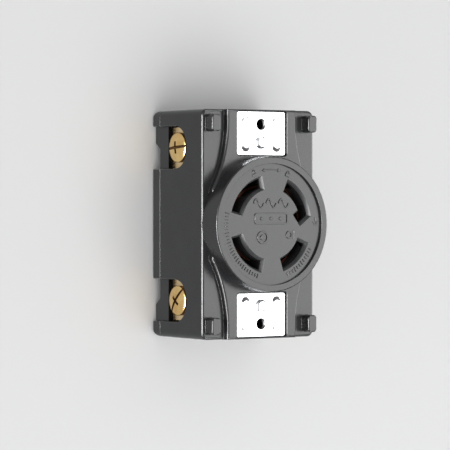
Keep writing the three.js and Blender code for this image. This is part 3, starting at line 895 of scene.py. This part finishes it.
def back_plate():
    """The rear cover: a shell with a plug that fits the housing, rounded at its ends."""
    side_round, end_round = 0.2, 2.3
    half = HALF_HEIGHT - DRAFT
    levels = [(JOINT, -JOINT_EDGE), (JOINT + JOINT_EDGE, 0)] + quarter_round(BACK, side_round, 4, -1)
    shell = common(shaped(box_outline(), levels), drafted_ends())
    section = fillet(rectangle(JOINT - 1, BACK, -half, half), [0, end_round, end_round, 0], 8)
    shell = common(shell, prism(section, -HALF_WIDTH - 1, HALF_WIDTH + 1, "X"))
    plug = prism(fillet(centred(PLUG_WIDTH, PLUG_HEIGHT), 0.6, 3), PLUG, JOINT + 0.5)
    presses = [cover_press(sx) for sx in (1, -1)]
    tongues, holes = [], []
    for quarter in QUARTERS.values():
        corner = (quarter["x"], quarter["z"])
        tongues.append(tongue(*corner))
        holes += [side_recess(*corner), wire_notch(*corner), *wire_holes(*corner), screw_bore(*corner)]
    body = join(shell, plug, *presses, *tongues)
    panel = shaped(fillet(centred(8.6, 12.5), 1.2, 5), [(BACK - 0.4, 0), (BACK - 0.1, 0.05), (BACK + 1, 1)])
    body = cut(body, *holes, panel)
    return piece("rear_cover", body, "cover_plastic", replaces=["back_plate"])


# ---------------------------------------------------------------- ears and their rivets


def pressed_rib(sx, sz):
    """A pressed rib with rounded ends, longest on the slope that faces the boss.

    Each section has its drop below the crest, its inset, and the slope's run at the end near the boss.
    """
    crest = EAR_FRONT - EAR_RIB["height"]
    near = EAR_RIB["from"] - 0.5
    far = EAR_RIB["to"] + 0.1
    slope = (
        (0, 0.66, 1.3), (0.04, 0.54, 1.12), (0.34, 0.2, 0.3),
        (0.37, 0.1, 0.15), (0.4, 0, 0), (0.7, 0, 0),
    )
    sections = []
    for drop, inset, run in slope:
        half_width = EAR_RIB["half_width"] - inset
        low, high = near + run, far - inset
        outline = centred(half_width, (high - low) / 2, sx * EAR_RIB["x"], sz * (high + low) / 2)
        sections.append((crest + drop, fillet(outline, half_width - 0.03, 10)))
    return loft(sections)


def mounting_ear(name, sz):
    """A plated ear with two pressed ribs. Its tapped hole and the ribs' ends that face the boss are painted
    dark: painted shade in the hole, and a painted reflection of the dark boss on the rib ends.
    """
    low, high = EAR_LOW.z, EAR_HIGH.z
    outline = fillet(centred(EAR_HIGH.x, (high - low) / 2, 0, sz * (low + high) / 2), 0.8, 5)
    back = EAR_HIGH.y
    plate = shaped(outline, quarter_round(EAR_FRONT, 0.16, 3) + quarter_round(back, 0.12, 2, -1))
    ribs = [pressed_rib(sx, sz) for sx in (1, -1)]
    radius = EAR_HOLE["radius"]
    turns = 4
    groove = 0.14
    mouth = radius + 0.12
    pitch = (back - EAR_FRONT) / turns
    profile = [(0, EAR_FRONT - 1), (mouth, EAR_FRONT - 1), (mouth, EAR_FRONT), (radius, EAR_FRONT + 0.1)]
    for i in range(1, turns):
        depth = EAR_FRONT + pitch * i
        profile += [(radius + groove, depth), (radius, depth + pitch / 2)]
    profile += [(radius + 0.2, back + 0.5), (0, back + 0.5)]
    hole = turned(profile, 48, (0, sz * EAR_HOLE["z"]))
    rivet_hole = rod(EAR_RIVET["hole"], EAR_FRONT - 2.2, back + 1.2, 32, (0, sz * EAR_RIVET["z"]))
    body = cut(join(plate, *ribs), hole, rivet_hole)

    def painted_dark_faces(middle, normal):
        """The tapped hole, painted shade, and the ribs' ends that face the boss, a painted reflection of the
        dark boss.
        """
        reach = math.hypot(middle.x, middle.z - sz * EAR_HOLE["z"])
        rib_end = middle.y < EAR_FRONT - 0.02 and -sz * normal.z > 0.16 and reach > radius + 1
        in_hole = reach < radius + 0.25 and middle.y > EAR_FRONT + 0.08
        return in_hole or rib_end

    return piece(
        f"ear_{name}", body, "zinc_steel", replaces=[f"mounting_ear_{name}"], crease=38,
        second=("painted_shade_and_reflection_steel", painted_dark_faces),
    )


def ear_rivet(name, sz):
    radius = EAR_RIVET_HIGH.x
    seat = EAR_FRONT - 0.05
    top = EAR_RIVET_LOW.y
    tail = EAR_RIVET_HIGH.y
    shank = 1.1
    upset = tail - 0.65
    corners = [
        (0, top + 0.12), (0.42 * radius, top + 0.1), (0.52 * radius, top), (0.66 * radius, top),
        (radius, top + 0.36), (radius, seat), (shank, seat), (shank, upset),
        (1.8, upset), (1.5, tail), (0, tail),
    ]
    profile = fillet(corners, [0, 0.25, 0.3, 0.3, 0.15, 0, 0, 0, 0.2, 0.3, 0], 4)
    body = turned(profile, 48, (0, sz * EAR_RIVET["z"]))
    return piece(f"ear_rivet_head_{name}", body, "zinc_steel", replaces=[f"ear_rivet_{name}"])


# ---------------------------------------------------------------- screws


def tapered_limb(half_length, half_width, floor, top, closing):
    """One limb of a driver recess along X, narrower at its floor."""
    deep = centred(half_length - closing, half_width - 0.12)
    wide = centred(half_length + 0.1, half_width + 0.05)
    return loft([(floor, deep), (top, wide)], "Z")


def terminal_screw(name, quarter):
    """Binding-head screw with a combined slot and cross recess, made along Z with its seat at zero."""
    rim = HEAD["rim"] - HEAD["seat"]
    crown = HEAD["crown"] - HEAD["seat"]
    radius = HEAD["radius"]
    edge = radius - 0.26
    brow = rim + 0.04
    corners = [(0, 0), (radius - 0.1, 0), (radius, 0.12), (radius, rim - 0.14), (edge, brow)]
    dome = []
    for step in range(8, 0, -1):
        reach = edge * step / 8.5
        dome.append((reach, brow + (crown - brow) * (1 - (reach / edge) ** 2) ** 0.9))
    head = turned(fillet(corners, [0, 0, 0.1, 0.12, 0.06], 3) + dome + [(0, crown)], 72, axis="Z")
    tip = SHANK["tip"] - HEAD["seat"]
    threads = thread(SHANK["radius"], 0.3, SHANK["pitch"], tip + 0.5, -0.6)
    point = cone(SHANK["radius"] - 0.75, tip, SHANK["radius"] - 0.35, tip + 0.55, axis="Z")
    neck = cone(SHANK["radius"] - 0.3, -0.7, SHANK["radius"] - 0.1, 0.3, axis="Z")
    floor = crown - RECESS["depth"]
    slot = tapered_limb(radius + 0.6, RECESS["half_width"], floor, crown + 0.4, 0.0)
    cross = tapered_limb(RECESS["cross"], RECESS["half_width"], floor, crown + 0.4, 0.8)
    cross.transform(Matrix.Rotation(math.pi / 2, 4, "Z"))
    body = cut(join(head, neck, threads, point), slot, cross)
    sx, sz = quarter["x"], quarter["z"]
    facing = Matrix.Rotation(sx * math.pi / 2, 4, "Y")
    turn = Matrix.Rotation(math.radians(quarter["turn"] + 90), 4, "X")
    place = Matrix.Translation((sx * HEAD["seat"], WINDOW["depth"], sz * WINDOW["z"]))
    moved(body, place @ turn @ facing)
    # The recess and the head's side wall are painted dark: painted shade.
    finish, shade_finish = ("screw_brass", "painted_shade_brass")
    if name == GROUND:
        finish, shade_finish = ("ground_screw_green", "painted_shade_green")

    def in_painted_shade(middle, normal):
        """The recess, and the head's side wall: both get a dark finish as painted shade."""
        reach = math.hypot(middle.y - WINDOW["depth"], middle.z - sz * WINDOW["z"])
        height = abs(middle.x) - HEAD["seat"]
        side = abs(normal.x) < 0.3 and reach > radius - 0.1 and height > 0
        limb = height > floor - 0.1 and reach < radius - 0.02
        return side or limb and (abs(normal.x) < 0.75 or height < floor + 0.1)

    return piece(
        f"terminal_screw_{name}_fine", body, finish, body=f"screw_{name}",
        replaces=[f"terminal_screw_{name}"], crease=34, second=(shade_finish, in_painted_shade),
    )


def assembly_screw(name, quarter):
    """Self-tapping pan head screw, made along Z with its seat at zero and its head up."""
    seat = CASE_SCREW["seat"] + 0.05
    height = BACK - 0.3 - seat
    radius = CASE_SCREW["head_radius"]
    tip = CASE_SCREW["tip"] - seat
    profile = fillet(rectangle(0, radius, 0, height), [0, 0.15, 0.75, 0], 5)
    head = turned(profile, 56, axis="Z")
    threads = thread(1.2, 0.28, 0.9, tip + 1.1, -0.4)
    point = cone(0.2, tip, 0.95, tip + 1.3, axis="Z")
    neck = cone(0.95, -0.6, 1.15, 0.2, axis="Z")
    limbs = [tapered_limb(1.45, 0.33, height - 1.1, height + 0.2, 0.75) for _ in range(2)]
    limbs[1].transform(Matrix.Rotation(math.pi / 2, 4, "Z"))
    body = cut(join(head, neck, threads, point), *limbs)
    turn = Matrix.Rotation(math.radians(quarter["turn"]), 4, "Y") @ Matrix.Rotation(-math.pi / 2, 4, "X")
    place = Matrix.Translation((quarter["x"] * PILLAR["x"], seat, quarter["z"] * PILLAR["z"]))
    moved(body, place @ turn)
    return piece(f"case_screw_{name}", body, "screw_steel", replaces=[f"assembly_screw_{name}"], crease=34)


# ---------------------------------------------------------------- pieces made from the CAD shapes


def pocket_lips():
    """Dark lips in the mouths of the block's pockets. They hide the contacts' front edges and stand for the
    shade deep in the slots.
    """
    front, back = FACE_BACK + 0.35, LIP["back"]
    lips = []
    for quarter in QUARTERS.values():
        low, high = quarter["lipped"]
        for inner, outer in ((SLOT["inner"] - 0.25, LIP["inner"]), (LIP["outer"], SLOT["outer"] + 0.4)):
            lips.append(prism(ring_part(inner, outer, low, high), front, back))
    return lips


def contact_block():
    """The insulating block, with its edges broken and its pockets lipped. Its plastic is darker than the
    housing's: painted shade for the deep inside of the slots.
    """
    body = join(refined("contact_block", 0.15), *pocket_lips())
    return piece("contact_block_fine", body, "block_plastic", replaces=["contact_block"])


def inner_pieces():
    """The conductors: the CAD shapes with their edges broken."""
    parts = [("bonding_strap", "strap_steel", "root", 0.1)]
    for name in QUARTERS:
        contact = "ground_contact" if name == GROUND else f"line_contact_{name}"
        parts += [
            # The contacts' copper is painted dark: painted shade inside the slots.
            (contact, "contact_copper", "root", 0.08),
            (f"contact_rivet_{name}", "rivet_brass", "root", 0.1),
            (f"terminal_plate_{name}", "terminal_brass", "root", 0.14),
            (f"clamp_plate_{name}", "clamp_steel", f"clamp_{name}", 0.12),
        ]
    for node, finish, body, bevel in parts:
        piece(f"{node}_fine", refined(node, bevel), finish, body, [node])


# ---------------------------------------------------------------- studio

# The camera stands level with the object, at its front left. Its location is in millimetres.
VIEW = {"location": (-470.85, -664.08, 8.3), "heading": -34.366, "pitch": -0.599, "lens": 217.7}


def camera():
    data = bpy.data.cameras.new("camera")
    data.lens = VIEW["lens"]
    data.sensor_width = 36
    data.clip_end = 20
    obj = bpy.data.objects.new("camera", data)
    obj.location = Vector(VIEW["location"]) * MM
    obj.rotation_euler = (math.radians(90 + VIEW["pitch"]), 0, math.radians(VIEW["heading"]))
    bpy.context.scene.collection.objects.link(obj)
    bpy.context.scene.camera = obj


def softbox(name, azimuth, elevation, distance, size, radiance, lights="glossy"):
    """A panel light aimed at the object, which lights either its gloss or its colour.

    Azimuth is turned from the front towards the left, in degrees. The distance and the size are in metres.
    """
    data = bpy.data.lights.new(name, "AREA")
    data.shape = "RECTANGLE"
    data.size, data.size_y = size
    data.energy = radiance * size[0] * size[1] * math.pi
    obj = bpy.data.objects.new(name, data)
    turn, rise = math.radians(azimuth), math.radians(elevation)
    way = Vector((-math.sin(turn) * math.cos(rise), -math.cos(turn) * math.cos(rise), math.sin(rise)))
    obj.location = way * distance
    obj.rotation_euler = way.to_track_quat("Z", "Y").to_euler()
    obj.visible_camera = False
    obj.visible_diffuse = lights == "diffuse"
    obj.visible_glossy = lights == "glossy"
    bpy.context.scene.collection.objects.link(obj)


def floor():
    """The pale surface that the object lies on its back on. It shows from the front only."""
    half = 0.9
    clearance = 0.0004
    level = BACK * MM + clearance
    corners = [(x, level, z) for x, z in centred(half, half)]
    mesh = bpy.data.meshes.new("floor")
    mesh.from_pydata(corners, [], [(0, 1, 2, 3)])
    obj = bpy.data.objects.new("floor", mesh)
    bpy.context.scene.collection.objects.link(obj)
    nodes = Nodes("floor")
    nodes.shader.inputs["Roughness"].default_value = 0.9
    nodes.tint(nodes.noise(60.0, 2.0), "Fac", (0.78, 0.78, 0.78), (0.80, 0.80, 0.80))
    path = nodes.add("ShaderNodeLightPath")
    geometry = nodes.add("ShaderNodeNewGeometry")
    front = nodes.add("ShaderNodeMath", operation="SUBTRACT", use_clamp=True)
    nodes.join(path, "Is Camera Ray", front, 0)
    nodes.join(geometry, "Backfacing", front, 1)
    clear = nodes.add("ShaderNodeBsdfTransparent")
    either = nodes.add("ShaderNodeMixShader")
    nodes.join(front, 0, either, 0)
    nodes.join(clear, 0, either, 1)
    nodes.join(nodes.shader, 0, either, 2)
    nodes.join(either, 0, nodes.output, "Surface")
    mesh.materials.append(nodes.material)


def studio():
    """An even room, a key light from the front and below, and reflector panels for the glossy faces."""
    world = bpy.data.worlds.new("studio")
    world.use_nodes = True
    tree = world.node_tree
    background = tree.nodes["Background"]
    path = tree.nodes.new("ShaderNodeLightPath")
    room = tree.nodes.new("ShaderNodeMix")
    room.data_type = "RGBA"
    room.inputs["A"].default_value = (0.55, 0.555, 0.56, 1)
    room.inputs["B"].default_value = (0.57, 0.572, 0.575, 1)
    tree.links.new(path.outputs["Is Diffuse Ray"], room.inputs["Factor"])
    tree.links.new(room.outputs["Result"], background.inputs["Color"])
    bpy.context.scene.world = world
    bpy.context.scene.view_settings.view_transform = "Standard"
    softbox("key", -9, -28, 1.0, (1.2, 1.0), 1.6, "diffuse")
    softbox("panel_right", -61, 0, 0.8, (1.3, 0.36), 4.3)
    softbox("panel_front", 59, -2, 1.1, (0.75, 0.3), 27.0)
    softbox("panel_lower", 59, -32, 1.1, (0.75, 0.2), 20.0)
    softbox("panel_left", 76, 0, 0.9, (0.5, 0.6), 5.0)
    softbox("panel_spark", 80, -22, 0.9, (0.3, 0.22), 24.0)
    softbox("panel_top", -29, 41, 0.7, (0.22, 0.22), 16.0)
    softbox("panel_bottom", -31, -46, 0.7, (0.22, 0.22), 16.0)


camera()
studio()
floor()
front_housing()
back_plate()
for ear_name, ear_side in (("upper", 1), ("lower", -1)):
    mounting_ear(ear_name, ear_side)
    ear_rivet(ear_name, ear_side)
for quarter_name, quarter_place in QUARTERS.items():
    terminal_screw(quarter_name, quarter_place)
    assembly_screw(quarter_name, quarter_place)
contact_block()
inner_pieces()
